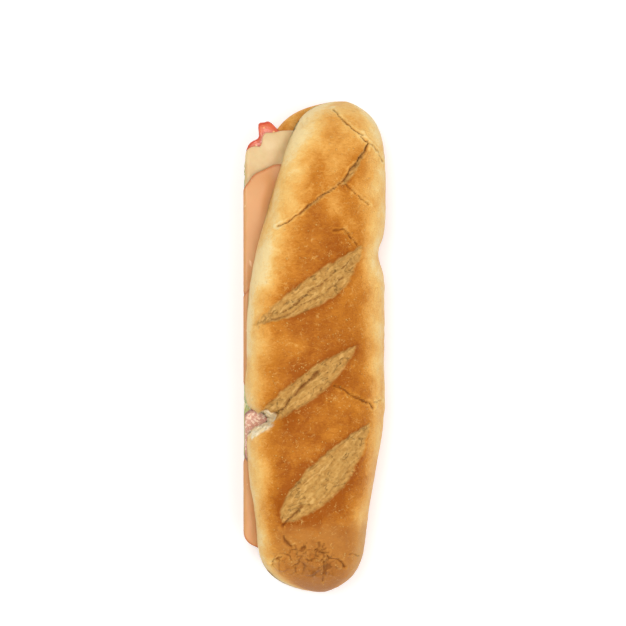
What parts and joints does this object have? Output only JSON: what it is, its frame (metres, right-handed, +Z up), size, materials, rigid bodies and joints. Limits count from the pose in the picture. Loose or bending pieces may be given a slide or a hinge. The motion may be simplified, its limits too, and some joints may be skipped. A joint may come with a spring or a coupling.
{
  "type": "submarine sandwich",
  "caption": "Long scored roll, hinged along one side, filled with cured meats, cheese, tomato, onion and shredded lettuce that show along its open side.",
  "frame": {"origin": "centre of the bounding box's base, on the surface the roll rests on", "axes": "+Y along the roll towards its far tip, +X towards the uncut side where the halves are hinged, +Z up"},
  "size_m": [0.0837, 0.289, 0.0652],
  "materials": {
    "crust": "baked crust, golden brown, slight sheen",
    "lettuce": "moist shredded leaf",
    "ham": "moist cured meat with a spiced rim",
    "pepperoni": "oily cured meat",
    "provolone": "smooth waxy cheese",
    "salami": "cured meat flecked with fat",
    "tomato": "wet cut fruit",
    "onion": "moist raw onion"
  },
  "bodies": {
    "root": {"roll": "crust", "lettuce": "lettuce", "ham_1": "ham", "ham_2": "ham", "ham_3": "ham", "pepperoni_1": "pepperoni", "pepperoni_2": "pepperoni", "pepperoni_3": "pepperoni", "pepperoni_4": "pepperoni", "provolone_1": "provolone", "provolone_2": "provolone", "provolone_3": "provolone", "salami_1": "salami", "salami_2": "salami", "salami_3": "salami", "salami_4": "salami", "tomato_1": "tomato", "tomato_2": "tomato", "tomato_3": "tomato", "tomato_4": "tomato", "onion_1": "onion", "onion_2": "onion", "onion_3": "onion"}
  },
  "joints": []
}
